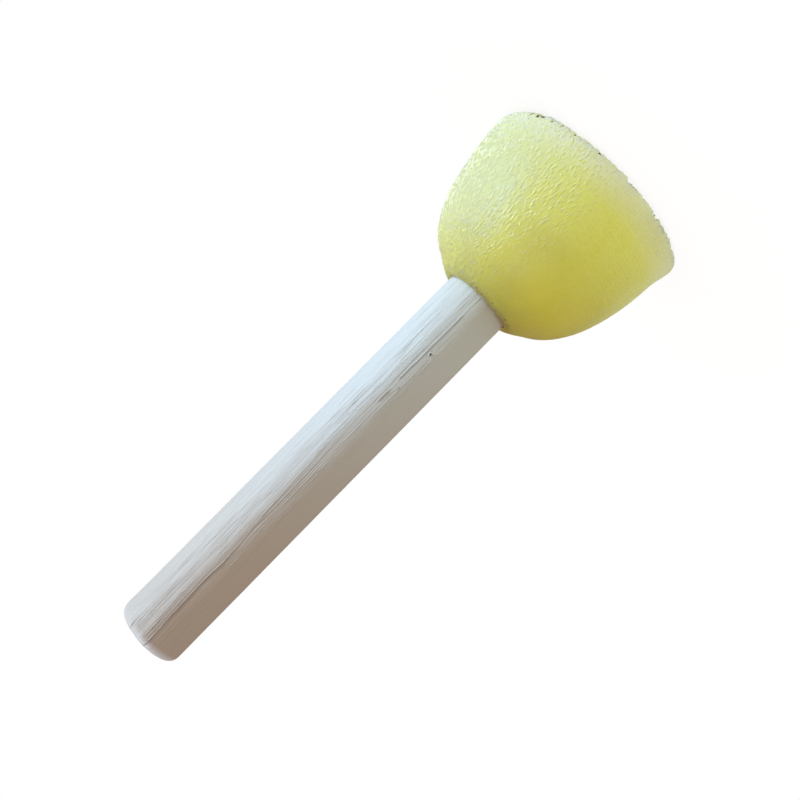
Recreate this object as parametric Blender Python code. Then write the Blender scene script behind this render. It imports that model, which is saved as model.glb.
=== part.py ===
"""Foam sponge brush: a bell-shaped foam dabbing head glued onto a round wooden handle.

The brush stands on its flat foam face at z = 0 and its handle points up along +Z.
All sizes are in metres. Pieces that touch on the real brush are modelled CLEARANCE apart.
"""

import math

import bmesh
import bpy

CLEARANCE = 0.0003
SEGMENTS = 48
MERGE_DISTANCE = 0.000001
SHARP_ANGLE = math.radians(35)

# Handle: a round dowel with a rounded-over butt end and a small lead-in chamfer at its buried end
BRUSH_LENGTH = 0.105
DOWEL_LENGTH = 0.095
DOWEL_RADIUS = 0.006
BUTT_ROUNDING = 0.0018
LEAD_IN = 0.0005

# Foam head: a superellipse bell, widest just below its flat face, with a rounded rim round that face
BELL_RADIUS = 0.019
BELL_BASE = -0.0012
BELL_TOP = 0.0284
BELL_POWER = 2.44
RIM_ROUNDING = 0.0012

# Adhesive: a thin cup round the dowel's buried end, with a small bead standing proud of the foam
GLUE_THICKNESS = 0.0004
BEAD_HEIGHT = 0.0003

DOWEL_BOTTOM = BRUSH_LENGTH - DOWEL_LENGTH
GLUE_INSIDE = DOWEL_RADIUS + CLEARANCE
GLUE_OUTSIDE = GLUE_INSIDE + GLUE_THICKNESS
GLUE_FLOOR = DOWEL_BOTTOM - CLEARANCE
GLUE_BOTTOM = GLUE_FLOOR - GLUE_THICKNESS
SOCKET_RADIUS = GLUE_OUTSIDE + CLEARANCE
SOCKET_BOTTOM = GLUE_BOTTOM - CLEARANCE


def clear_scene():
    """Start from an empty scene."""
    for thing in list(bpy.data.objects):
        bpy.data.objects.remove(thing, do_unlink=True)


def principled(name, colour, roughness):
    """A plain non-metallic material."""
    material = bpy.data.materials.new(name)
    material.use_nodes = True
    shader = material.node_tree.nodes["Principled BSDF"]
    shader.inputs["Base Color"].default_value = (*colour, 1.0)
    shader.inputs["Roughness"].default_value = roughness
    shader.inputs["Metallic"].default_value = 0.0
    return material


def arc(centre, radius, start, end, steps):
    """Points (radius, height) on an arc about centre, from angle start to end in degrees."""
    angles = [math.radians(start + (end - start) * step / steps) for step in range(steps + 1)]
    return [(centre[0] + radius * math.cos(a), centre[1] + radius * math.sin(a)) for a in angles]


def bell_height(radius):
    """Height at which the bell has this radius."""
    share = (radius / BELL_RADIUS) ** BELL_POWER
    return BELL_BASE + (BELL_TOP - BELL_BASE) * (1 - share) ** (1 / BELL_POWER)


def bell_radius(height):
    """Radius of the bell at this height."""
    share = ((height - BELL_BASE) / (BELL_TOP - BELL_BASE)) ** BELL_POWER
    return BELL_RADIUS * (1 - share) ** (1 / BELL_POWER)


def turned(name, outline, material, base=0.0):
    """A closed body turned about Z, from (radius, height) points that start and end on the axis."""
    shape = bmesh.new()
    ring = [shape.verts.new((radius, 0.0, height)) for radius, height in outline]
    edges = [shape.edges.new(pair) for pair in zip(ring, ring[1:])]
    bmesh.ops.spin(
        shape, geom=ring + edges, cent=(0, 0, 0), axis=(0, 0, 1), angle=math.tau, steps=SEGMENTS
    )
    bmesh.ops.remove_doubles(shape, verts=shape.verts, dist=MERGE_DISTANCE)
    bmesh.ops.recalc_face_normals(shape, faces=shape.faces)
    mesh = bpy.data.meshes.new(name)
    shape.to_mesh(mesh)
    shape.free()
    mesh.shade_smooth()
    mesh.set_sharp_from_angle(angle=SHARP_ANGLE)
    mesh.materials.append(material)
    piece = bpy.data.objects.new(name, mesh)
    piece.location.z = base
    bpy.context.scene.collection.objects.link(piece)
    return piece


def handle():
    """The dowel, measured from its buried end."""
    shoulder = (DOWEL_RADIUS - BUTT_ROUNDING, DOWEL_LENGTH - BUTT_ROUNDING)
    outline = [(0.0, 0.0), (DOWEL_RADIUS - LEAD_IN, 0.0), (DOWEL_RADIUS, LEAD_IN)]
    outline += arc(shoulder, BUTT_ROUNDING, 0, 90, 6)
    outline += [(0.0, DOWEL_LENGTH)]
    paint = principled("white_painted_wood", (0.72, 0.73, 0.70), 0.6)
    return turned("handle", outline, paint, DOWEL_BOTTOM)


def foam_head():
    """The foam bell with its blind socket, from the face's centre out over the rim to the socket's floor."""
    rim = (bell_radius(RIM_ROUNDING) - RIM_ROUNDING, RIM_ROUNDING)
    outline = [(0.0, 0.0)] + arc(rim, RIM_ROUNDING, -90, 0, 5)
    start = math.asin((bell_radius(RIM_ROUNDING) / BELL_RADIUS) ** (BELL_POWER / 2))
    end = math.asin((SOCKET_RADIUS / BELL_RADIUS) ** (BELL_POWER / 2))
    steps = 18
    for step in range(1, steps + 1):
        radius = BELL_RADIUS * math.sin(start + (end - start) * step / steps) ** (2 / BELL_POWER)
        outline.append((radius, bell_height(radius)))
    outline += [(SOCKET_RADIUS, SOCKET_BOTTOM), (0.0, SOCKET_BOTTOM)]
    foam = principled("yellow_foam", (0.72, 0.68, 0.16), 0.95)
    return turned("foam_head", outline, foam)


def glue():
    """The cup of adhesive, from the underside's centre up the outside, over the bead and down inside."""
    half = GLUE_THICKNESS / 2
    bead_top = bell_height(SOCKET_RADIUS) + BEAD_HEIGHT
    outline = [(0.0, GLUE_BOTTOM), (GLUE_OUTSIDE - half, GLUE_BOTTOM), (GLUE_OUTSIDE, GLUE_BOTTOM + half)]
    outline += arc((GLUE_INSIDE + half, bead_top - half), half, 0, 180, 4)
    outline += [(GLUE_INSIDE, GLUE_FLOOR), (0.0, GLUE_FLOOR)]
    adhesive = principled("brown_adhesive", (0.26, 0.12, 0.05), 0.4)
    return turned("glue", outline, adhesive)


def main():
    clear_scene()
    brush = bpy.data.objects.new("brush", None)
    bpy.context.scene.collection.objects.link(brush)
    for piece in (handle(), foam_head(), glue()):
        piece.parent = brush


main()
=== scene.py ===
"""Foam sponge brush: the looks.

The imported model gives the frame: a round wooden handle, a bell-shaped foam head and the adhesive between
them, all turned about +Z, with the foam's flat face on the floor. This script makes the surfaces that show:
ground open-cell foam, thin white paint over wood grain, and the squeezed-out line of glue. Metres throughout.

Angles round the brush are measured from +X, the side towards the window. The camera stands at -90 degrees.
"""

import math

import bpy
import numpy as np
from mathutils import Matrix, Vector


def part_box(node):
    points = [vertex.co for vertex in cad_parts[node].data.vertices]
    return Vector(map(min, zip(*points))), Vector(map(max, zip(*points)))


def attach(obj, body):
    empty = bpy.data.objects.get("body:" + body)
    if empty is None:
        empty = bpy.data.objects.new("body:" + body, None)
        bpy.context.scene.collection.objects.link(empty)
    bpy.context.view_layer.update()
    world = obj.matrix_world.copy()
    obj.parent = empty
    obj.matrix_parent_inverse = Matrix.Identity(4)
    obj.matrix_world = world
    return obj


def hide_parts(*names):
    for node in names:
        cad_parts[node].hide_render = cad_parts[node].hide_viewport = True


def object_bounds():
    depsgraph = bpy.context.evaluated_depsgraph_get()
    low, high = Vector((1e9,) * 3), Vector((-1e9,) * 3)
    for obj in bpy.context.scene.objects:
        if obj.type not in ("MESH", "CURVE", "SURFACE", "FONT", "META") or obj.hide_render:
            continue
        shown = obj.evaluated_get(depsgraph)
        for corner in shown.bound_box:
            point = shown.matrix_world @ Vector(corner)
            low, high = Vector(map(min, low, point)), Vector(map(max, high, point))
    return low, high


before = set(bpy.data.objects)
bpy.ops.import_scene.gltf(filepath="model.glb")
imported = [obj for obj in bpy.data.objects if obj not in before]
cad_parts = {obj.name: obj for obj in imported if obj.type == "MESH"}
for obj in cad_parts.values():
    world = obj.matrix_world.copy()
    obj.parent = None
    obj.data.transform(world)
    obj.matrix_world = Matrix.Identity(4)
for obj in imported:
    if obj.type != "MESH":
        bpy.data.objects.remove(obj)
cad_low, cad_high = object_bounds()

MM = 0.001

# Camera: a 50 mm lens close to the brush, rolled over so that the head points up to the right
LENS_MM = 49.5
SENSOR_MM = 36.0
CAMERA_DISTANCE = 183.4 * MM
CAMERA_TILT = math.radians(5.3)
CAMERA_ROLL = math.radians(45.43)
LOOK_SHARE = 0.456
LOOK_ASIDE = 2.33 * MM

# Foam bell: a superellipse, widest just above the flat face. The side towards +X is ground rounder at its
# rim. The lip stands a gap off the wood, and the socket below it is wider
BELL_RADIUS = 19.0 * MM
BELL_BASE = -8.05 * MM
BELL_TOP = 28.24 * MM
BELL_HEIGHT_POWER = 3.72
BELL_RADIUS_POWER = 2.1
BELL_LENGTH = 40 * MM
FACE_LENGTH = 17 * MM
SHARP_RIM = 0.35 * MM
ROUND_RIM = 2.4 * MM
LIP_ROUNDING = 0.35 * MM
LIP_GAP = 0.26 * MM
SOCKET_GAP = 1.0 * MM
SOCKET_FLOOR_GAP = 0.3 * MM
FLOOR_GAP = 0.02 * MM

# Where the bell isn't even. Each lift of the rim is (angle, half width) in degrees and its height
FLARE = 0.85 * MM
SLIMMER = 0.36 * MM
NECK_HOLLOW = 0.30 * MM
LIFTS = (
    (-138, 21.77, 0.50 * MM),
    (-112, 14.90, 0.35 * MM),
    (-90, 11.46, 0.26 * MM),
    (-70, 17.19, 0.40 * MM),
    (-23, 14.90, 0.40 * MM),
)
# Where the rim is worn, and has more dark specks of dirt and painted shade: (angle, half width) in degrees
WORN = ((-47.0, 17.0), (-128.0, 26.0), (60.0, 20.0), (150.0, 14.0))
TEAR_IN = 0.30 * MM
TEAR_UP = 0.38 * MM

# Foam cells: their length along the outline and their width round it. The small cells are finer by a factor
BELL_CELL = (1.30 * MM, 0.50 * MM)
FACE_CELL = (0.62 * MM, 0.62 * MM)
SMALL_FINER = 1.9
SMALL_WIDTH = 0.31 * MM
# Strokes: one in each patch of this length and width, which are finer than the cells by a factor
STROKE_FINER = 1.6
STROKE_PATCH = (0.81 * MM, 0.50 * MM)
STROKE_LENGTH = 0.80 * MM
STROKE_HALF_WIDTH = 0.12 * MM

# How deep the foam's cells and grooves are, how far its strokes and waves rise, and how far its skin lies out
BELL_PIT = 0.06 * MM
FACE_PIT = 0.24 * MM
SMALL_PIT = 0.04 * MM
DEEP_PIT = 0.34 * MM
RAGGED_FACE = 0.09 * MM
STROKE_RISE = 0.15 * MM
STROKE_GROOVE = 0.08 * MM
WAVE = 0.07 * MM
SKIN_OUT = 0.05 * MM

# The foam's side towards the window, which is painted paler as painted light, and the side whose lip is
# tinted brownest, in degrees
SUNNY_SIDE = -12
SOAKED_SIDE = 219.6
# A patch of painted shade, darker where the light falls off: (angle, half width) in degrees
DUSK_PATCH = (-95, 20.63)

# Handle: dowel with a planed flat that drifts round it, white paint over nearly straight grain
BUTT_ROUNDING = 1.8 * MM
BUTT_SHORTER = 0.25 * MM
BUTT_SLANT = 0.5 * MM
LEAD_IN = 0.5 * MM
FLAT_AT_BUTT = math.radians(-86.5)
FLAT_DRIFT = math.radians(0.162) / MM
FLAT_HALF_WIDTH = math.radians(9.5)
KNOT_ANGLE = math.radians(-96.0)
KNOT_HEIGHT = 39.7 * MM
KNOT_REACH = 1.3 * MM
NOTCH_ANGLE = math.radians(-60.5)
# Cracks along the grain: (angle, turn for each mm) in degrees, and (start, end) heights in mm
CRACKS = ((-90.0, 0.09, 31.0, 46.5), (-89.6, 0.2, 48.2, 51.4), (-97.6, 0.0, 46.6, 47.9))
# Dimples in the paint: angle in degrees and height in mm
DIMPLES = ((-101.6, 32.5), (-131.3, 32.2), (-112.0, 61.0), (40.0, 55.0), (120.0, 77.0))

# The paint's relief: its waves and bumps, and the lines along the grain. Most lines lie on the open side,
# at angles given by their middle and spread in degrees
FINE_RELIEF = 0.008 * MM
BROAD_RELIEF = 0.009 * MM
BUMP_RELIEF = 0.007 * MM
LINE_DEPTH = 0.045 * MM
LINE_LENGTH = 17 * MM
LINE_HALF_WIDTH = 0.055 * MM
OPEN_SIDE = (-60, 27)
OPEN_SIDE_LINES, OTHER_LINES = 600, 360

# How deep the marks on the handle are, and how far the edges beside them rise
SPLIT_DEPTH, SPLIT_LIP = 0.12 * MM, 0.03 * MM
KNOT_DEPTH, KNOT_RING = 0.30 * MM, 0.06 * MM
DIMPLE_DEPTH, DIMPLE_SIZE = 0.06 * MM, 0.26 * MM
NOTCH_DEPTH = 0.10 * MM
TURNING_DEPTH, TURNING_PITCH = 0.02 * MM, 0.16 * MM
# How far below the foam's top the handle is left plain
HIDDEN_BELOW = 2 * MM

# Glue: a line that fills most of the gap between the wood and the foam's lip
GLUE_PLAY = 0.03 * MM
GLUE_BELOW_LIP = 0.40 * MM
GLUE_UNDER_HANDLE = 0.1 * MM
GLUE_BLOBS = 0.09 * MM

# How fine the meshes are: columns round the widest ring, the spacing below which they halve, and row steps
FOAM_COLUMNS, FOAM_SPACING = 1536, 0.0496 * MM
HANDLE_COLUMNS, HANDLE_SPACING = 1024, 0.031 * MM
GLUE_COLUMNS, GLUE_SPACING = 256, 0.093 * MM
FOAM_STEP = 0.15 * MM
FACE_STEP = 0.14 * MM
HANDLE_STEP = 0.34 * MM
KNOT_STEP = 0.10 * MM

# Foam colours: plain and mottled, at the neck, in the painted shade, painted light on the side towards the
# window, at the cut rim (plain, and on the window side: partly the cut foam's own paler colour, partly
# painted light), painted shade down in cells and painted shadow in grooves, painted highlights on strokes
# (plain, at the neck, on the window side), brown at the lip, and dark specks of dirt and painted shade
FOAM_PLAIN, FOAM_MOTTLED = (0.93, 0.94, 0.25), (0.95, 0.96, 0.29)
FOAM_NECK = (0.94, 0.90, 0.15)
FOAM_DUSK = (0.72, 0.69, 0.19)
FOAM_FRESH = (0.715, 0.75, 0.46)
CUT_PLAIN, CUT_FRESH = (0.98, 0.99, 0.82), (0.86, 0.91, 0.72)
CELL_COLOUR = (0.80, 0.74, 0.14)
GROOVE_COLOUR = (0.57, 0.62, 0.28)
STROKE_PLAIN, STROKE_NECK, STROKE_FRESH = (1.0, 1.0, 0.46), (1.0, 0.98, 0.48), (1.0, 1.0, 0.76)
SOAKED_COLOUR = (0.50, 0.20, 0.03)
DIRT_COLOUR = (0.06, 0.05, 0.03)

# Paint colours: plain, streaked, cloudy, bluer and lighter towards the foam as painted light, and in the
# grain's lines. Then wood and glue
PAINT_PLAIN, PAINT_STREAKED = (0.84, 0.80, 0.785), (0.785, 0.75, 0.73)
PAINT_CLOUDY = (0.80, 0.75, 0.72)
PAINT_COOL = (0.84, 0.905, 0.985)
PAINT_IN_LINES = (0.44, 0.44, 0.43)
BARE_WOOD = (0.16, 0.11, 0.07)
GLUE_DARK, GLUE_CLEAR = (0.34, 0.15, 0.06), (0.55, 0.32, 0.13)

# Studio colours: the light that the surround throws on the brush, and the floor's near the foam and far off
SURROUND_LIGHT = (0.285, 0.175, 0.132, 1)
FLOOR_LIGHT_NEAR, FLOOR_LIGHT_FAR = (0.75, 0.80, 0.62), (0.285, 0.18, 0.135)
WHITE = (1, 1, 1, 1)


# ---------------------------------------------------------------- turned meshes


def column_counts(radii, most, spacing):
    """How many columns each ring has: the most, halved until they are no closer than spacing."""
    counts = []
    for radius in radii:
        count = most
        while count > 8 and 2 * math.pi * radius / count < spacing:
            count //= 2
        counts.append(count)
    for i in range(1, len(counts)):
        counts[i] = min(max(counts[i], counts[i - 1] // 2), counts[i - 1] * 2)
    return counts


def strip(first, first_count, second, second_count):
    """Faces between two neighbouring rings, as (quads, triangles).

    The rings start at the vertices first and second. They have the same number of columns, or one has twice
    as many as the other, or one is a single point.
    """
    none = np.zeros((0, 3), int)
    if first_count == second_count:
        j = np.arange(first_count)
        k = (j + 1) % first_count
        return np.stack([first + j, first + k, second + k, second + j], axis=1), none
    if first_count == 1:
        j = np.arange(second_count)
        k = (j + 1) % second_count
        return np.zeros((0, 4), int), np.stack([first + 0 * j, second + k, second + j], axis=1)
    if second_count == 1:
        j = np.arange(first_count)
        k = (j + 1) % first_count
        return np.zeros((0, 4), int), np.stack([first + j, first + k, second + 0 * j], axis=1)
    if first_count == 2 * second_count:
        j = np.arange(second_count)
        k = (j + 1) % second_count
        a, m, b = first + 2 * j, first + 2 * j + 1, first + 2 * k
        c, d = second + j, second + k
        return np.zeros((0, 4), int), np.concatenate(
            [np.stack([a, m, c], 1), np.stack([m, d, c], 1), np.stack([m, b, d], 1)]
        )
    j = np.arange(first_count)
    k = (j + 1) % first_count
    a, b = first + j, first + k
    c, m, d = second + 2 * j, second + 2 * j + 1, second + 2 * k
    return np.zeros((0, 4), int), np.concatenate(
        [np.stack([a, m, c], 1), np.stack([a, b, m], 1), np.stack([b, d, m], 1)]
    )


class Turned:
    """The grid of a turned piece: rings of vertices about Z, each with its row number and its angle."""

    def __init__(self, radii, most_columns, spacing):
        """Rings of these radii. Their columns halve where they would be closer than spacing."""
        counts = column_counts(radii, most_columns, spacing)
        self.counts = [1 if radius <= 0 else count for radius, count in zip(radii, counts)]
        self.starts = np.concatenate([[0], np.cumsum(self.counts)])
        self.row = np.repeat(np.arange(len(radii)), self.counts)
        within = np.arange(self.starts[-1]) - self.starts[self.row]
        self.angle = 2 * math.pi * within / np.array(self.counts)[self.row]

    def mesh(self, name, radius, height):
        """The mesh with each vertex at its own radius and height."""
        points = np.stack([radius * np.cos(self.angle), radius * np.sin(self.angle), height], axis=1)
        quads, triangles = [], []
        for i in range(len(self.counts) - 1):
            q, t = strip(self.starts[i], self.counts[i], self.starts[i + 1], self.counts[i + 1])
            quads.append(q)
            triangles.append(t)
        quads, triangles = np.concatenate(quads), np.concatenate(triangles)
        corners = np.concatenate([quads.ravel(), triangles.ravel()])
        first_corner = np.concatenate(
            [4 * np.arange(len(quads)), 4 * len(quads) + 3 * np.arange(len(triangles))]
        )
        mesh = bpy.data.meshes.new(name)
        mesh.vertices.add(len(points))
        mesh.vertices.foreach_set("co", points.astype(np.float32).ravel())
        mesh.loops.add(len(corners))
        mesh.loops.foreach_set("vertex_index", corners.astype(np.int32))
        mesh.polygons.add(len(first_corner))
        mesh.polygons.foreach_set("loop_start", first_corner.astype(np.int32))
        mesh.update(calc_edges=True)
        mesh.shade_smooth()
        return mesh


def paint_values(mesh, **values):
    """Keeps a number from 0 to 1 for each vertex, for the material to read."""
    for name, value in values.items():
        layer = mesh.attributes.new(name, "FLOAT", "POINT")
        layer.data.foreach_set("value", np.clip(value, 0, 1).astype(np.float32))


def show(name, mesh, material, node):
    """The finished piece, standing for its CAD node."""
    piece = bpy.data.objects.new(name, mesh)
    bpy.context.scene.collection.objects.link(piece)
    mesh.materials.append(material)
    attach(piece, "root")
    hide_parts(node)
    return piece


# ---------------------------------------------------------------- outlines


def arc(centre, radius, start, end, steps):
    """(steps + 1) points (radius, height) on an arc about centre, between two angles in degrees."""
    angle = np.radians(np.linspace(start, end, steps + 1))
    return np.stack([centre[0] + radius * np.cos(angle), centre[1] + radius * np.sin(angle)], axis=1)


def straight(start, end, steps):
    """(steps + 1) points from start to end."""
    share = np.linspace(0, 1, steps + 1)[:, None]
    return np.array(start) * (1 - share) + np.array(end) * share


def outline_normals(outline):
    """Unit normals of an outline, pointing out of the piece."""
    run = np.gradient(outline, axis=0)
    run /= np.maximum(np.hypot(*run.T), 1e-9)[:, None]
    return np.stack([-run[:, 1], run[:, 0]], axis=1)


# ---------------------------------------------------------------- patterns


def smooth(low, high, value):
    """0 below low, 1 above high, eased between."""
    share = np.clip((value - low) / (high - low), 0, 1)
    return share * share * (3 - 2 * share)


def hump(off, width):
    """1 where off is nothing, falling away over width on both sides."""
    return np.exp(-(off / width) ** 2)


def wrapped(angle):
    """The same angle, between minus and plus half a turn."""
    return (angle + math.pi) % (2 * math.pi) - math.pi


def around(angle, middle, width):
    """1 at an angle round the piece, falling away on both sides. Middle and width are in degrees."""
    return hump(wrapped(angle - math.radians(middle)), math.radians(width))


def grain(angle, along, cells_round, cell_length, seed):
    """Smooth random values from -1 to 1, in cells round the piece, where they repeat, and along it."""
    rows = int(math.ceil((along.max() - along.min()) / cell_length)) + 3
    table = np.random.default_rng(seed).uniform(-1, 1, (rows, cells_round))
    u = (angle / (2 * math.pi) * cells_round) % cells_round
    v = (along - along.min()) / cell_length + 0.5
    i, j = np.floor(v).astype(int), np.floor(u).astype(int)
    fv, fu = v - i, u - j
    fv, fu = fv * fv * (3 - 2 * fv), fu * fu * (3 - 2 * fu)
    j1 = (j + 1) % cells_round
    j = j % cells_round
    low = table[i, j] * (1 - fu) + table[i, j1] * fu
    high = table[i + 1, j] * (1 - fu) + table[i + 1, j1] * fu
    return low * (1 - fv) + high * fv


def grain_round(angle, cells_round, seed):
    """Smooth random values that change only round the piece."""
    return grain(angle, 0 * angle, cells_round, 1.0, seed)


def grain_along(height, cell_length, seed):
    """Smooth random values that change only along the piece."""
    return grain(0 * height, height, 1, cell_length, seed)


def cells_in_rings(ring_radius, width):
    """How many cells of a width each ring holds, and the number of the first cell of each."""
    number = np.maximum(3, np.round(2 * math.pi * ring_radius / width).astype(int))
    return number, np.concatenate([[0], np.cumsum(number)])


def pores(angle, radius, level, ring_radius, across, seed):
    """Cells of an open foam on a turned surface.

    level counts rings of cells along the outline, ring_radius is each ring's radius and across its cells'
    width. Two values come back for each vertex: how deep inside its cell it lies, from 0 at the walls, and
    a random number of that cell.
    """
    random = np.random.default_rng(seed)
    number, start = cells_in_rings(ring_radius, across)
    shift_round, shift_along, chance = random.uniform(size=(3, start[-1]))
    ring_turn = random.uniform(size=len(number))
    nearest = np.full(len(angle), 9.0)
    second = np.full(len(angle), 9.0)
    value = np.zeros(len(angle))
    turn = angle / (2 * math.pi)
    width = across[np.clip(np.floor(level).astype(int), 0, len(number) - 1)]
    for step in (-1, 0, 1):
        ring = np.clip(np.floor(level).astype(int) + step, 0, len(number) - 1)
        count = number[ring]
        column = np.floor((turn + ring_turn[ring]) * count).astype(int)
        for side in (-1, 0, 1):
            cell = start[ring] + (column + side) % count
            place = (column + side + 0.1 + 0.8 * shift_round[cell]) / count - ring_turn[ring]
            off = (turn - place + 0.5) % 1.0 - 0.5
            off_round = off * 2 * math.pi * radius / width
            off_along = level - (ring + 0.1 + 0.8 * shift_along[cell])
            distance = np.hypot(off_round, off_along)
            closer = distance < nearest
            second = np.where(closer, nearest, np.minimum(second, distance))
            value = np.where(closer, chance[cell], value)
            nearest = np.where(closer, distance, nearest)
    return second - nearest, value


def strokes(angle, radius, level, ring_radius, seed):
    """Short raised strokes on a turned surface, one to a patch and mostly along the outline.

    level counts rings of patches along the outline, and ring_radius is each ring's radius. Two values come
    back for each vertex, both from 0 to 1: how far up a stroke it is, and how far down the groove beside one.
    """
    random = np.random.default_rng(seed)
    along, across = STROKE_PATCH
    number, start = cells_in_rings(ring_radius, across)
    shift_round, shift_along, strength = random.uniform(size=(3, start[-1]))
    lean = random.normal(-0.12, 0.18, start[-1])
    longer = random.uniform(0.5, 1.3, start[-1])
    turn = angle / (2 * math.pi)
    ridge, groove = np.zeros(len(angle)), np.zeros(len(angle))
    for step in (-1, 0, 1):
        ring = np.clip(np.floor(level).astype(int) + step, 0, len(number) - 1)
        count = number[ring]
        column = np.floor(turn * count).astype(int)
        for side in (-1, 0, 1):
            cell = start[ring] + (column + side) % count
            off = (turn - (column + side + shift_round[cell]) / count + 0.5) % 1.0 - 0.5
            off_round = off * 2 * math.pi * radius
            off_along = (level - ring - shift_along[cell]) * along
            cosine, sine = np.cos(lean[cell]), np.sin(lean[cell])
            wide = (off_round * cosine - off_along * sine) / STROKE_HALF_WIDTH
            long = np.abs(off_round * sine + off_along * cosine) / (0.5 * STROKE_LENGTH * longer[cell])
            share = smooth(1.1, 0.5, long) * smooth(0.10, 0.90, strength[cell])
            ridge = np.maximum(ridge, share * hump(wide, 1.0))
            groove = np.maximum(groove, share * hump(wide + 1.7, 1.0))
    return ridge, groove


def fibres(angle, height, places, longest, half_width, seed):
    """Fine lines along the grain: how deep each vertex lies in one, from 0 to about 1, with a raised edge."""
    random = np.random.default_rng(seed)
    total = np.zeros(len(angle))
    for place in places:
        middle = random.uniform(height.min(), height.max())
        length = longest * (0.15 + 0.85 * random.uniform() ** 2)
        strength = 0.25 + 0.75 * random.uniform() ** 2
        lean = random.normal() * 1.2
        near = np.nonzero(np.abs(height - middle) < length / 2)[0]
        off = wrapped(angle[near] - place - lean * (height[near] - middle)) * 6 * MM / half_width
        fade = smooth(1.0, 0.5, np.abs(height[near] - middle) / (length / 2))
        line = hump(off, 1.0) - 0.45 * hump(off - 1.7, 1.0)
        total[near] += strength * fade * line
    return total


# ---------------------------------------------------------------- node helpers


def material_with_shader(name):
    """A new node material, its node tree and its Principled shader."""
    material = bpy.data.materials.new(name)
    material.use_nodes = True
    tree = material.node_tree
    return material, tree, tree.nodes["Principled BSDF"]


def add(tree, kind, **settings):
    """A node with its settings: names of inputs as given, with spaces as underscores, or of properties."""
    node = tree.nodes.new(kind)
    for key, value in settings.items():
        if hasattr(node, key):
            setattr(node, key, value)
        else:
            node.inputs[key.replace("_", " ")].default_value = value
    return node


def blend_colour(tree, share, first, second):
    """A colour mixed from two, each a socket or an (r, g, b)."""
    node = tree.nodes.new("ShaderNodeMix")
    node.data_type = "RGBA"
    for socket, value in ((node.inputs[0], share), (node.inputs[6], first), (node.inputs[7], second)):
        if isinstance(value, bpy.types.NodeSocket):
            tree.links.new(value, socket)
        elif isinstance(value, tuple):
            socket.default_value = (*value, 1.0)
        else:
            socket.default_value = value
    return node.outputs[2]


def blend_shader(tree, share, first, second):
    """A node that mixes two shader nodes."""
    node = tree.nodes.new("ShaderNodeMixShader")
    tree.links.new(share, node.inputs[0])
    tree.links.new(first.outputs[0], node.inputs[1])
    tree.links.new(second.outputs[0], node.inputs[2])
    return node


def ramp(tree, value, low, high):
    """A socket that goes from 0 to 1 as value goes from low to high."""
    node = add(tree, "ShaderNodeMapRange", From_Min=low, From_Max=high, interpolation_type="SMOOTHSTEP")
    tree.links.new(value, node.inputs["Value"])
    return node.outputs["Result"]


def maths(tree, operation, *values):
    """A socket with the result of one sum."""
    node = tree.nodes.new("ShaderNodeMath")
    node.operation = operation
    for socket, value in zip(node.inputs, values):
        if isinstance(value, bpy.types.NodeSocket):
            tree.links.new(value, socket)
        else:
            socket.default_value = value
    return node.outputs[0]


def attributes(tree, *names):
    """Sockets with the numbers kept on the mesh under these names."""
    return [add(tree, "ShaderNodeAttribute", attribute_name=name).outputs["Fac"] for name in names]


def noise(tree, scale, detail=3.0, stretch=(1.0, 1.0, 1.0)):
    """A socket with procedural noise in object space; scale is in cells per metre."""
    place = add(tree, "ShaderNodeTexCoord")
    mapping = add(tree, "ShaderNodeMapping", Scale=stretch)
    tree.links.new(place.outputs["Object"], mapping.inputs["Vector"])
    node = add(tree, "ShaderNodeTexNoise", Scale=scale, Detail=detail)
    tree.links.new(mapping.outputs["Vector"], node.inputs["Vector"])
    return node.outputs["Fac"]


def bump(tree, shader, height, distance):
    """Fine relief on a shader."""
    node = add(tree, "ShaderNodeBump", Distance=distance, Strength=1.0)
    tree.links.new(height, node.inputs["Height"])
    tree.links.new(node.outputs["Normal"], shader.inputs["Normal"])


# ---------------------------------------------------------------- materials


def foam_colour(tree, shown):
    """The foam's colour as a socket, with painted light, shade and highlights. shown is how much painted
    highlight strokes take.
    """
    pit, groove, speck, soak, dusk = attributes(tree, "pit", "groove", "speck", "soak", "dusk")
    pale, ochre, fresh = attributes(tree, "pale", "ochre", "fresh")
    mottle = ramp(tree, noise(tree, 260, 2.0), 0.3, 0.7)
    colour = blend_colour(tree, mottle, FOAM_PLAIN, FOAM_MOTTLED)
    colour = blend_colour(tree, ochre, colour, FOAM_NECK)
    # Painted shade: darker in a patch at -95 degrees and towards the side away from the window
    colour = blend_colour(tree, dusk, colour, FOAM_DUSK)
    # Painted light: paler and cooler on the side towards the window
    colour = blend_colour(tree, fresh, colour, FOAM_FRESH)
    # Paler at the cut rim: partly the cut foam's own colour, partly painted light
    colour = blend_colour(tree, pale, colour, blend_colour(tree, fresh, CUT_PLAIN, CUT_FRESH))
    # Painted shade down in the cells
    dull = maths(tree, "MULTIPLY", pit, 0.20)
    colour = blend_colour(tree, dull, colour, CELL_COLOUR)
    # Painted shadow in the grooves beside the strokes, stronger on the lit side
    dark = maths(tree, "MULTIPLY", groove, maths(tree, "MULTIPLY_ADD", fresh, 0.3, 0.3))
    colour = blend_colour(tree, dark, colour, GROOVE_COLOUR)
    # Painted highlights on the strokes, stronger on the side towards the window
    bright = blend_colour(tree, fresh, STROKE_PLAIN, STROKE_FRESH)
    bright = blend_colour(tree, ochre, bright, STROKE_NECK)
    colour = blend_colour(tree, shown, colour, bright)
    # A brown tint round the lip
    colour = blend_colour(tree, soak, colour, SOAKED_COLOUR)
    # Dark specks near the rim: dirt, and painted shade in open cells
    return blend_colour(tree, speck, colour, DIRT_COLOUR)


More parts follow.
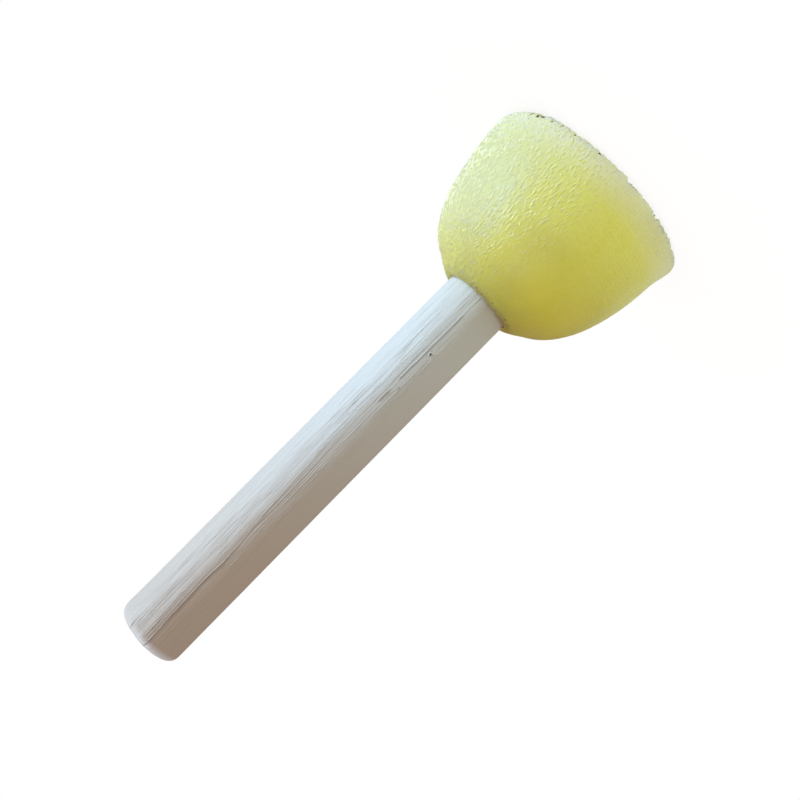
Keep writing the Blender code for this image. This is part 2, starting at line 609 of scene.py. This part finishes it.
def foam_material():
    """Yellow polyurethane foam, which light soaks right through. Its colour holds painted light and shade,
    and painted highlights.
    """
    material, tree, shader = material_with_shader("foam")
    groove, speck, fresh, glint = attributes(tree, "groove", "speck", "fresh", "glint")
    # How strongly the painted highlights show on the strokes
    shown = maths(tree, "MULTIPLY", glint, maths(tree, "MULTIPLY_ADD", fresh, 0.38, 0.56))
    tree.links.new(foam_colour(tree, shown), shader.inputs["Base Color"])

    closed = maths(tree, "SUBTRACT", 1.0, speck)
    shine = maths(tree, "MULTIPLY", closed, maths(tree, "MULTIPLY_ADD", glint, 0.9, 0.5))
    shine = maths(tree, "MULTIPLY", shine, maths(tree, "MULTIPLY_ADD", groove, -0.8, 1.0))
    deep_in = maths(tree, "MULTIPLY", closed, maths(tree, "MULTIPLY_ADD", shown, -0.12, 0.75))
    tree.links.new(shine, shader.inputs["Specular IOR Level"])
    tree.links.new(maths(tree, "MULTIPLY_ADD", glint, -0.11, 0.25), shader.inputs["Roughness"])
    tree.links.new(maths(tree, "MULTIPLY", closed, 0.25), shader.inputs["Sheen Weight"])
    tree.links.new(deep_in, shader.inputs["Subsurface Weight"])
    shader.inputs["Subsurface Radius"].default_value = (1.0, 1.0, 0.05)
    shader.inputs["Subsurface Scale"].default_value = 16 * MM
    shader.inputs["Specular Tint"].default_value = (1.0, 1.0, 0.78, 1.0)
    shader.inputs["IOR"].default_value = 1.55
    shader.inputs["Sheen Roughness"].default_value = 0.6
    shader.inputs["Sheen Tint"].default_value = (0.93, 1.0, 0.80, 1.0)
    bump(tree, shader, noise(tree, 4200, 3.0), 0.03 * MM)
    return material


def wood_material():
    """Thin matt white paint over straight grain, thinner and greyer in the grooves."""
    material, tree, shader = material_with_shader("painted_wood")
    groove, bare, cool = attributes(tree, "groove", "bare", "cool")
    streak = ramp(tree, noise(tree, 2600, 4.0, (1.0, 1.0, 0.03)), 0.3, 0.75)
    cloud = ramp(tree, noise(tree, 90, 3.0, (1.0, 1.0, 0.3)), 0.3, 0.7)
    colour = blend_colour(tree, streak, PAINT_PLAIN, PAINT_STREAKED)
    colour = blend_colour(tree, maths(tree, "MULTIPLY", cloud, 0.4), colour, PAINT_CLOUDY)
    # Painted light: bluer and lighter towards the foam
    colour = blend_colour(tree, cool, colour, PAINT_COOL)
    colour = blend_colour(tree, maths(tree, "MULTIPLY", groove, 0.4), colour, PAINT_IN_LINES)
    colour = blend_colour(tree, bare, colour, BARE_WOOD)
    tree.links.new(colour, shader.inputs["Base Color"])
    rough = blend_colour(tree, streak, (0.42, 0.42, 0.42), (0.60, 0.60, 0.60))
    tree.links.new(rough, shader.inputs["Roughness"])
    shader.inputs["Specular IOR Level"].default_value = 0.4
    bump(tree, shader, noise(tree, 3000, 3.0, (1.0, 1.0, 0.06)), 0.02 * MM)
    return material


def glue_material():
    """Cured brown adhesive, clear enough to glow a little at thin edges."""
    material, tree, shader = material_with_shader("adhesive")
    shade = ramp(tree, noise(tree, 900, 3.0), 0.35, 0.65)
    colour = blend_colour(tree, shade, GLUE_DARK, GLUE_CLEAR)
    tree.links.new(colour, shader.inputs["Base Color"])
    shader.inputs["Roughness"].default_value = 0.35
    shader.inputs["Subsurface Weight"].default_value = 0.4
    shader.inputs["Subsurface Radius"].default_value = (1.0, 0.5, 0.2)
    shader.inputs["Subsurface Scale"].default_value = 0.4 * MM
    bump(tree, shader, noise(tree, 2500, 2.0), 0.03 * MM)
    return material


# ---------------------------------------------------------------- foam head


def bell_height(radius, widest):
    """Height at which the bell has this radius."""
    share = (1 - (radius / widest) ** BELL_RADIUS_POWER) ** (1 / BELL_HEIGHT_POWER)
    return BELL_BASE + (BELL_TOP - BELL_BASE) * share


def bell_radius(height, widest):
    """Radius of the bell at this height."""
    share = ((height - BELL_BASE) / (BELL_TOP - BELL_BASE)) ** BELL_HEIGHT_POWER
    return widest * (1 - share) ** (1 / BELL_RADIUS_POWER)


def bell_curve(widest, first_radius, last_radius):
    """The bell from one radius out to another, as evenly spaced points (radius, height)."""
    first, last = (math.asin((at / widest) ** (BELL_RADIUS_POWER / 2)) for at in (first_radius, last_radius))
    curve = widest * np.sin(np.linspace(first, last, 2000)) ** (2 / BELL_RADIUS_POWER)
    curve = np.stack([curve, bell_height(curve, widest)], axis=1)
    length = np.concatenate([[0], np.cumsum(np.hypot(*np.diff(curve, axis=0).T))])
    share = np.linspace(0, length[-1], int(BELL_LENGTH / FOAM_STEP))
    return np.stack([np.interp(share, length, curve[:, k]) for k in (0, 1)], axis=1)


def foam_outline(widest, mouth, socket, floor, rim):
    """The foam's outline as points (radius, height), with the row numbers where bell, rim and face begin.

    It runs from the socket's floor up its wall, over the lip, down the bell, round the rim and in across the
    face. rim is the rim's rounding.
    """
    lip = (mouth + LIP_ROUNDING, bell_height(mouth + LIP_ROUNDING, widest) - LIP_ROUNDING)
    rim_centre = (bell_radius(rim, widest) - rim, rim)
    parts = [
        straight((0.0, floor), (socket, floor), 14),
        straight((socket, floor), (socket, lip[1] - 4 * MM), 12)[1:],
        straight((socket, lip[1] - 4 * MM), (mouth, lip[1]), 10)[1:],
        arc(lip, LIP_ROUNDING, 180, 90, 5)[1:],
        bell_curve(widest, lip[0], bell_radius(rim, widest))[1:],
        arc(rim_centre, rim, 0, -90, 24)[1:],
        straight((rim_centre[0], 0.0), (0.0, 0.0), int(FACE_LENGTH / FACE_STEP))[1:],
    ]
    starts = np.cumsum([len(part) for part in parts])
    return np.concatenate(parts), starts[3], starts[4], starts[5]


def cell_levels(outline, cell_length):
    """For each row of an outline, how many rings of cells lie before it; each row has its own cell length."""
    step = np.hypot(*np.diff(outline, axis=0).T)
    return np.concatenate([[0], np.cumsum(step / cell_length[1:])])


class Foam:
    """The foam head before its surface is worked.

    For each vertex it holds the place on the smooth shape and the level: how many rings of cells lie before
    it along the outline. From 0 to 1 it holds how far the surface shows (seen), lies on the flat face (face)
    or in the face's middle (inner), and how far it faces the window (lit, from the uneven sunny).
    """

    def __init__(self):
        """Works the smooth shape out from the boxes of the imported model's nodes."""
        low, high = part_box("foam_head")
        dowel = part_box("handle")[1].x
        widest = 0.5 * (high.x - low.x)
        self.mouth = dowel + LIP_GAP
        hollow = (self.mouth, dowel + SOCKET_GAP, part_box("glue")[0].z - SOCKET_FLOOR_GAP)
        sharp, bell_row, self.rim_row, self.face_row = foam_outline(widest, *hollow, SHARP_RIM)
        rounded = foam_outline(widest, *hollow, ROUND_RIM)[0]
        self.grid = Turned(sharp[:, 0].clip(0), FOAM_COLUMNS, FOAM_SPACING)
        self.row, self.angle = self.grid.row, self.grid.angle

        rounder = (0.5 + 0.5 * np.cos(self.angle)) ** 4
        share = rounder[:, None]
        self.radius, self.height = (sharp[self.row] * (1 - share) + rounded[self.row] * share).T
        normal = outline_normals(sharp)[self.row] * (1 - share) + outline_normals(rounded)[self.row] * share
        self.normal = normal / np.maximum(np.hypot(*normal.T), 1e-9)[:, None]
        self.seen = smooth(bell_row - 8, bell_row + 4, self.row)
        self.face = smooth(self.rim_row, self.rim_row + 14, self.row)
        self.inner = smooth(16 * MM, 9 * MM, self.radius) * self.face

        on_face = smooth(self.rim_row - 12, self.rim_row + 10, np.arange(len(sharp)))
        cell_length = BELL_CELL[0] + (FACE_CELL[0] - BELL_CELL[0]) * on_face
        self.outline_radius = sharp[:, 0]
        self.levels = cell_levels(sharp, cell_length)
        more = cell_levels(rounded, cell_length) - self.levels
        self.level = self.levels[self.row] + more[self.row] * rounder * smooth(2 * MM, 15 * MM, self.radius)
        self.sunny = np.cos(self.angle - math.radians(SUNNY_SIDE)) + 0.25 * self.grain(14, 6.0, 16)
        self.lit = smooth(0.0, 0.34, self.sunny)

    def grain(self, cells_round, rings, seed):
        """Smooth random values from -1 to 1, in patches so many rings of cells long."""
        return grain(self.angle, self.level, cells_round, rings, seed)

    def rings(self, finer=1.0):
        """The radius of each ring of cells, when the cells are finer by a factor."""
        levels = self.levels * finer
        return np.interp(np.arange(int(levels[-1]) + 1) + 0.5, levels, self.outline_radius)

    def large_pores(self):
        """How deep each vertex lies in a large cell, and a random number of that cell."""
        rings = self.rings()
        across = np.where(np.arange(len(rings)) > self.levels[self.rim_row], FACE_CELL[1], BELL_CELL[1])
        return pores(self.angle, self.radius, self.level, rings, across, 11)

    def small_pores(self):
        """How deep each vertex lies in a small cell, and a random number of that cell."""
        rings = self.rings(SMALL_FINER)
        across = np.full(len(rings), SMALL_WIDTH)
        return pores(self.angle, self.radius, self.level * SMALL_FINER, rings, across, 12)

    def strokes(self):
        """Raised strokes and the grooves beside them, strong on the bell's brighter side."""
        rings = self.rings(STROKE_FINER)
        stroke, groove = strokes(self.angle, self.radius, self.level * STROKE_FINER, rings, 18)
        shown = (1 - self.face) * (0.10 + 0.90 * self.lit)
        stroke = stroke * shown
        return stroke, groove * shown * (1 - stroke)

    def wear(self, small_chance):
        """How torn the edge of the rim is, and which small cells along it take dark specks of dirt and
        painted shade.
        """
        rim, face = self.rim_row, self.face_row
        worn = sum(around(self.angle, middle, width) for middle, width in WORN)
        tear = 0.7 * grain_round(self.angle, 170, 41) + 0.6 * grain_round(self.angle, 340, 42)
        tear = smooth(0.0, 0.75, tear)
        edge = smooth(rim - 4, rim + 3, self.row) * smooth(face + 8, face, self.row)
        # Dark specks in small cells along the edge: dirt, and painted shade in their mouths
        dirt = smooth(0.30, 0.60, (tear + 0.2 * worn) * edge) * smooth(rim + 18, rim + 7, self.row)
        dirt = dirt * (small_chance > 0.75 - 0.55 * worn)
        return tear * edge * (0.35 + 0.65 * np.minimum(worn, 1)), dirt

    def uneven(self, tear):
        """How far the foam lies off the even bell: outwards, and up."""
        toward = np.cos(self.angle)
        flare = smooth(0.0, 0.9, -toward) * smooth(0, 15 * MM, self.radius)
        flare = flare * smooth(5 * MM, -1 * MM, self.height)
        slimmer = smooth(0.3, 1.0, toward) * hump(self.height - 13 * MM, 6.5 * MM)
        slimmer = slimmer * smooth(10 * MM, 15 * MM, self.radius)
        lift = sum(rise * around(self.angle, middle, width) for middle, width, rise in LIFTS)
        lift = lift * smooth(4 * MM, 0, self.height) * smooth(9 * MM, 17 * MM, self.radius)
        hollow = hump(self.radius - 10 * MM, 1.8 * MM) * smooth(20 * MM, 22 * MM, self.height)
        out = FLARE * flare - SLIMMER * slimmer - TEAR_IN * tear
        return out, lift - NECK_HOLLOW * hollow + TEAR_UP * tear


def soaked_in(foam, radius, height):
    """How brown the foam is tinted round its lip, most on one side."""
    near = smooth(2.2 * MM, 0.3 * MM, np.hypot(radius - foam.mouth, height - height.max()))
    toward = 0.10 + 0.90 * smooth(-0.1, 0.9, np.cos(foam.angle - math.radians(SOAKED_SIDE)))
    dots = smooth(0.62, 0.85, foam.grain(150, 0.5, 15)) * smooth(0.0, 0.5, near)
    return (near ** 1.5 * toward * 0.5 + dots * toward * 0.8) * foam.seen


def make_foam():
    """The foam head: cells pressed into a fine turned mesh, raised strokes on it and a torn rim."""
    foam = Foam()
    face, seen = foam.face, foam.seen
    edge, chance = foam.large_pores()
    small_edge, small_chance = foam.small_pores()
    stroke, groove = foam.strokes()
    tear, dirt = foam.wear(small_chance)

    pit = smooth(0.02, 0.50, edge) * (0.25 + 0.75 * chance)
    small_pit = smooth(0.02, 0.6, small_edge) * (0.3 + 0.7 * small_chance)
    torn = smooth(-0.2, 0.5, foam.grain(22, 9.0, 17))
    deep = smooth(0.05, 0.35, small_edge) * (small_chance > 0.78 - 0.22 * torn) * face
    wave = (0.6 * foam.grain(26, 3.5, 13) + foam.grain(9, 9.0, 14)) * (1 - foam.inner)
    ragged = foam.grain(260, 0.5, 19) * face * smooth(2 * MM, 14 * MM, foam.radius)
    pit_depth = BELL_PIT * (0.4 + 0.6 * foam.lit) * (1 - face) + FACE_PIT * face
    depth = pit_depth * pit + SMALL_PIT * small_pit + DEEP_PIT * deep + RAGGED_FACE * ragged
    shift = (WAVE * wave - depth + STROKE_RISE * stroke - STROKE_GROOVE * groove + SKIN_OUT) * seen
    out, up = foam.uneven(tear)
    radius = np.maximum(foam.radius + shift * foam.normal[:, 0] + out, 0)
    height = foam.height + shift * foam.normal[:, 1] + up
    mesh = foam.grid.mesh("foam", radius, np.maximum(height, FLOOR_GAP))

    # Painted shade: a darker patch at the front and on the side away from the window
    front = 1.3 * around(foam.angle, *DUSK_PATCH)
    front *= smooth(12 * MM, 17 * MM, height) * smooth(27 * MM, 23 * MM, height)
    back = smooth(0.4, 1.0, -np.cos(foam.angle))
    back *= smooth(1 * MM, 5 * MM, height) * smooth(24 * MM, 14 * MM, height)
    near_rim = 0.28 + 0.72 * smooth(15 * MM, 18.5 * MM, radius)
    # Painted light: the side towards the window is painted paler
    fresh = smooth(-0.15, 0.95, foam.sunny) * (1 - foam.inner) + 0.5 * foam.inner
    paint_values(
        mesh,
        pit=pit * (1 - stroke),
        glint=1.9 * stroke * seen,
        dusk=0.5 * (front + back) * seen,
        groove=1.3 * groove * seen,
        speck=deep * (0.4 + 0.6 * chance) * near_rim + dirt,
        soak=soaked_in(foam, radius, height),
        pale=smooth(7.0 * MM, 0.8 * MM, height) * seen,
        ochre=smooth(13 * MM, 26 * MM, height) * seen,
        fresh=fresh * smooth(28 * MM, 20 * MM, height),
    )
    piece = show("foam_sponge", mesh, foam_material(), "foam_head")
    return piece


# ---------------------------------------------------------------- handle


def handle_outline(dowel, low, buried, end):
    """The outline from the middle of the buried end to the middle of the butt, as points (radius, height)."""
    shoulder = (dowel - BUTT_ROUNDING, end - BUTT_ROUNDING)
    before, after = KNOT_HEIGHT - KNOT_REACH, KNOT_HEIGHT + KNOT_REACH
    return np.concatenate([
        straight((0.0, low), (dowel - LEAD_IN, low), 12),
        straight((dowel - LEAD_IN, low), (dowel, low + LEAD_IN), 2)[1:],
        straight((dowel, low + LEAD_IN), (dowel, buried), 12)[1:],
        straight((dowel, buried), (dowel, before), int((before - buried) / HANDLE_STEP))[1:],
        straight((dowel, before), (dowel, after), int((after - before) / KNOT_STEP))[1:],
        straight((dowel, after), (dowel, shoulder[1]), int((shoulder[1] - after) / HANDLE_STEP))[1:],
        arc(shoulder, BUTT_ROUNDING, 0, 90, 14)[1:],
        straight((shoulder[0], end), (0.0, end), 34)[1:],
    ])


def flat_cut(off, half_width, radius):
    """How far a planed flat lies inside the round, where off is the angle from its middle."""
    chord = radius * math.cos(half_width) / np.maximum(np.cos(off), 0.5)
    return np.where(np.abs(off) < half_width, radius - chord, 0.0)


def wood_grain(angle, height):
    """The lines along the grain, and the height of the relief that they and the paint make."""
    drift = angle + 50 * (height - 50 * MM) ** 2 + 0.007 * grain(angle, height, 30, 3 * MM, 26)
    random = np.random.default_rng(20)
    open_side = random.normal(*np.radians(OPEN_SIDE), OPEN_SIDE_LINES)
    anywhere = random.uniform(-math.pi, math.pi, OTHER_LINES)
    places = np.concatenate([open_side, anywhere])
    lines = fibres(drift, height, places, LINE_LENGTH, LINE_HALF_WIDTH, 21)
    lines *= 0.35 + 0.65 * smooth(0.15, 0.60, np.cos(angle - math.radians(-45)))
    bumps = grain(angle, height, 48, 0.9 * MM, 27)
    fine = grain(drift, height, 150, 12 * MM, 22)
    broad = grain(drift, height, 36, 25 * MM, 23)
    relief = FINE_RELIEF * fine + BROAD_RELIEF * broad + BUMP_RELIEF * bumps - LINE_DEPTH * lines
    return lines, relief


def splits(angle, height, off_flat, dowel):
    """The long split beside the flat, and the cracks.

    Two values come back for each vertex: how deep it lies in one, and how far up the raised edge beside one.
    """
    share = 0.30 * smooth(55 * MM, 62 * MM, height) + 0.70 * smooth(83 * MM, 88 * MM, height)
    off = (off_flat + FLAT_HALF_WIDTH) * dowel
    split = share * hump(off, 0.07 * MM)
    lip = share * hump(off + 0.16 * MM, 0.10 * MM)
    bend = 0.03 * MM * grain_along(height, 2.5 * MM, 25)
    for middle, turn, first, last in CRACKS:
        turned = math.radians(turn) * (height - first * MM) / MM
        off = wrapped(angle - math.radians(middle) - turned) * dowel + bend
        ends = smooth(first * MM, (first + 0.8) * MM, height) * smooth(last * MM, (last - 0.8) * MM, height)
        split = np.maximum(split, 0.9 * ends * hump(off, 0.08 * MM))
        lip = np.maximum(lip, ends * hump(off + 0.15 * MM, 0.09 * MM))
    return split, lip


def knot_and_dimples(angle, height, dowel):
    """Three values: how far a vertex lies in the knot, on the ring round it, and in a dimple of the paint."""
    off = wrapped(angle - KNOT_ANGLE) * dowel
    from_knot = np.hypot(off / (0.20 * MM), (height - KNOT_HEIGHT) / (0.26 * MM))
    dimples = np.zeros(len(angle))
    for middle, at in DIMPLES:
        from_dimple = np.hypot(wrapped(angle - math.radians(middle)) * dowel, height - at * MM)
        dimples += hump(from_dimple, DIMPLE_SIZE)
    return smooth(1.5, 0.6, from_knot), hump(from_knot - 2.1, 0.5), dimples


def make_handle():
    """The dowel with its grain, its planed flat, a long split, cracks, a small knot and rounded ends."""
    low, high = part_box("handle")
    dowel, end = high.x, high.z - BUTT_SHORTER
    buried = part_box("foam_head")[1].z - HIDDEN_BELOW
    outline = handle_outline(dowel, low.z, buried, end)
    grid = Turned(outline[:, 0].clip(0), HANDLE_COLUMNS, HANDLE_SPACING)
    angle = grid.angle
    radius, height = outline[grid.row].T
    normal = outline_normals(outline)[grid.row]
    side = smooth(0.3, 0.9, np.abs(normal[:, 0])) * (radius > 0)

    lines, relief = wood_grain(angle, height)
    waver = math.radians(1.6) * grain_along(height, 6 * MM, 24)
    off_flat = wrapped(angle - FLAT_AT_BUTT - FLAT_DRIFT * (end - height) - waver)
    flat = flat_cut(off_flat, FLAT_HALF_WIDTH, dowel)
    split, lip = splits(angle, height, off_flat, dowel)
    knot, knot_ring, dimples = knot_and_dimples(angle, height, dowel)
    notch = hump(wrapped(angle - NOTCH_ANGLE) * dowel, 0.10 * MM)
    notch *= smooth(end - 2.2 * MM, end - 1.0 * MM, height)
    marks = SPLIT_LIP * lip - SPLIT_DEPTH * split + KNOT_RING * knot_ring - KNOT_DEPTH * knot
    marks -= DIMPLE_DEPTH * dimples + NOTCH_DEPTH * notch

    shift = (relief + marks - flat) * side * smooth(buried - 3 * MM, buried, height)
    radius = np.maximum(radius + shift * normal[:, 0], 0)
    turning = TURNING_DEPTH * np.sin(radius / TURNING_PITCH) * (1 - side) * (height > buried)
    slant = BUTT_SLANT * smooth(-2 * MM, 6 * MM, radius * np.cos(angle))
    height = height + shift * normal[:, 1] + np.minimum(turning, 0)
    height = height - slant * smooth(end - 4 * MM, end - 1.2 * MM, height)
    mesh = grid.mesh("handle_wood", radius, height)
    groove = np.maximum(lines, 0) * side
    bare = (0.8 * split + 0.4 * notch) * smooth(2 * MM, 4 * MM, radius) + 0.95 * knot
    # cool holds painted light: bluer and lighter paint near the foam
    paint_values(mesh, groove=groove, bare=bare, cool=smooth(95 * MM, 35 * MM, height))
    return show("wood_handle", mesh, wood_material(), "handle")


# ---------------------------------------------------------------- glue


def make_glue():
    """The adhesive: a thin cup round the buried end, whose uneven edge shows between foam and wood."""
    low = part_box("glue")[0].z
    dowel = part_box("handle")[1].x
    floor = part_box("handle")[0].z - GLUE_UNDER_HANDLE
    inside, outside = dowel + GLUE_PLAY, dowel + LIP_GAP - GLUE_PLAY
    bead = (0.5 * (inside + outside), bell_height(outside, BELL_RADIUS) - GLUE_BELOW_LIP)
    outline = np.concatenate([
        straight((0.0, low), (outside, low), 12),
        straight((outside, low), (outside, bead[1]), 40)[1:],
        arc(bead, 0.5 * (outside - inside), 0, 180, 10)[1:],
        straight((inside, bead[1]), (inside, floor), 40)[1:],
        straight((inside, floor), (0.0, floor), 12)[1:],
    ])
    grid = Turned(outline[:, 0].clip(0), GLUE_COLUMNS, GLUE_SPACING)
    radius, height = outline[grid.row].T
    top = smooth(bead[1] - 1.5 * MM, bead[1], height)
    blobs = GLUE_BLOBS * (grain_round(grid.angle, 60, 31) + grain_round(grid.angle, 17, 32))
    mesh = grid.mesh("glue_line", radius, height + top * blobs)
    return show("glue_line", mesh, glue_material(), "glue")


# ---------------------------------------------------------------- studio


def make_camera():
    """The camera looks along +Y from a little above, rolled so that the brush's head points up and right."""
    forward = Vector((0, math.cos(CAMERA_TILT), -math.sin(CAMERA_TILT)))
    headward = Vector((0, -math.sin(CAMERA_TILT), -math.cos(CAMERA_TILT)))
    aside = Vector((-1, 0, 0))
    right = headward * math.cos(CAMERA_ROLL) + aside * math.sin(CAMERA_ROLL)
    up = headward * math.sin(CAMERA_ROLL) - aside * math.cos(CAMERA_ROLL)
    target = Vector((0, 0, cad_high.z * LOOK_SHARE)) + aside * LOOK_ASIDE
    data = bpy.data.cameras.new("camera")
    data.lens = LENS_MM
    data.sensor_width = SENSOR_MM
    data.clip_start = 0.01
    data.clip_end = 20.0
    camera = bpy.data.objects.new("camera", data)
    bpy.context.scene.collection.objects.link(camera)
    place = Matrix((right, up, -forward)).transposed().to_4x4()
    place.translation = target - forward * CAMERA_DISTANCE
    camera.matrix_world = place
    bpy.context.scene.camera = camera


def make_world():
    """A white surround for the eye, and a dimmer warm one for the light."""
    world = bpy.data.worlds.new("studio")
    bpy.context.scene.world = world
    world.use_nodes = True
    tree = world.node_tree
    tree.nodes.clear()
    path = tree.nodes.new("ShaderNodeLightPath")
    seen = add(tree, "ShaderNodeBackground", Color=WHITE, Strength=1.0)
    felt = add(tree, "ShaderNodeBackground", Color=SURROUND_LIGHT, Strength=1.0)
    both = blend_shader(tree, path.outputs["Is Camera Ray"], felt, seen)
    out = tree.nodes.new("ShaderNodeOutputWorld")
    tree.links.new(both.outputs[0], out.inputs[0])


def make_floor():
    """A plain white floor that takes a faint soft shadow. Near the foam it throws cool light back at it."""
    mesh = bpy.data.meshes.new("floor")
    corners = [(-6, -7, 0), (6, -7, 0), (6, 6, 0), (-6, 6, 0)]
    mesh.from_pydata(corners, [], [(0, 1, 2, 3)])
    floor = bpy.data.objects.new("floor", mesh)
    bpy.context.scene.collection.objects.link(floor)
    material = bpy.data.materials.new("floor")
    material.use_nodes = True
    tree = material.node_tree
    tree.nodes.clear()
    place = tree.nodes.new("ShaderNodeTexCoord")
    length = add(tree, "ShaderNodeVectorMath", operation="LENGTH")
    tree.links.new(place.outputs["Object"], length.inputs[0])
    far = ramp(tree, length.outputs["Value"], 0.05, 0.30)
    thrown = add(tree, "ShaderNodeEmission", Strength=1.0)
    tree.links.new(blend_colour(tree, far, FLOOR_LIGHT_NEAR, FLOOR_LIGHT_FAR), thrown.inputs["Color"])
    white = add(tree, "ShaderNodeEmission", Color=WHITE, Strength=1.0)
    shaded = add(tree, "ShaderNodeBsdfDiffuse", Color=(0.95, 0.95, 0.95, 1))
    shadow = maths(tree, "MULTIPLY", maths(tree, "SUBTRACT", 1.0, far), 0.15)
    path = tree.nodes.new("ShaderNodeLightPath")
    seen = blend_shader(tree, shadow, white, shaded)
    both = blend_shader(tree, path.outputs["Is Camera Ray"], thrown, seen)
    out = tree.nodes.new("ShaderNodeOutputMaterial")
    tree.links.new(both.outputs[0], out.inputs[0])
    mesh.materials.append(material)
    return floor


def lamp(name, kind, place, target, colour, energy, receivers, **settings):
    """A lamp that lights only its receivers."""
    data = bpy.data.lights.new(name, kind)
    data.color = colour
    data.energy = energy
    for key, value in settings.items():
        setattr(data, key, value)
    light = bpy.data.objects.new(name, data)
    bpy.context.scene.collection.objects.link(light)
    light.location = place
    light.rotation_euler = (Vector(target) - Vector(place)).to_track_quat("-Z", "Y").to_euler()
    light.visible_camera = False
    group = bpy.data.collections.new(name + "_receivers")
    for thing in receivers:
        group.objects.link(thing)
    light.light_linking.receiver_collection = group


def make_lights(foam, wood, floor):
    """The lights, each only for the pieces it names.

    A cool window beside the brush lights foam and wood. A light behind gives the foam a bright edge and a
    warm card in front fills its shade. An open sky lights the wood, and an even light the floor.
    """
    window = {"shape": "RECTANGLE", "size": 0.07, "size_y": 0.24}
    card = {"shape": "RECTANGLE", "size": 0.20, "size_y": 0.20, "specular_factor": 0.0}
    edge = {"shape": "RECTANGLE", "size": 0.12, "size_y": 0.20, "diffuse_factor": 0.2}
    brush, above, ground = (0, 0, 0.03), (0, 0, 1), (0, 0, 0)
    lamp("window", "AREA", (0.226, -0.074, 0.068), brush, (0.57, 0.78, 0.94), 0.61, foam + wood, **window)
    lamp("edge", "AREA", (0.14, 0.15, 0.09), brush, (0.85, 1.0, 0.80), 0.09, foam, **edge)
    lamp("card", "AREA", (-0.08, -0.16, 0.20), brush, (0.95, 1.04, 0.35), 0.14, foam, **card)
    lamp("sky", "SUN", above, ground, (0.72, 0.94, 1.05), 1.9, wood, angle=math.radians(8))
    lamp("floor_light", "SUN", above, ground, (1, 1, 1), 2.95, [floor], angle=math.radians(120))


def main():
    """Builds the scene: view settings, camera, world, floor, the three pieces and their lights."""
    view = bpy.context.scene.view_settings
    view.view_transform = "Standard"
    view.look = "None"
    make_camera()
    make_world()
    floor = make_floor()
    make_lights([make_foam()], [make_handle(), make_glue()], floor)


main()
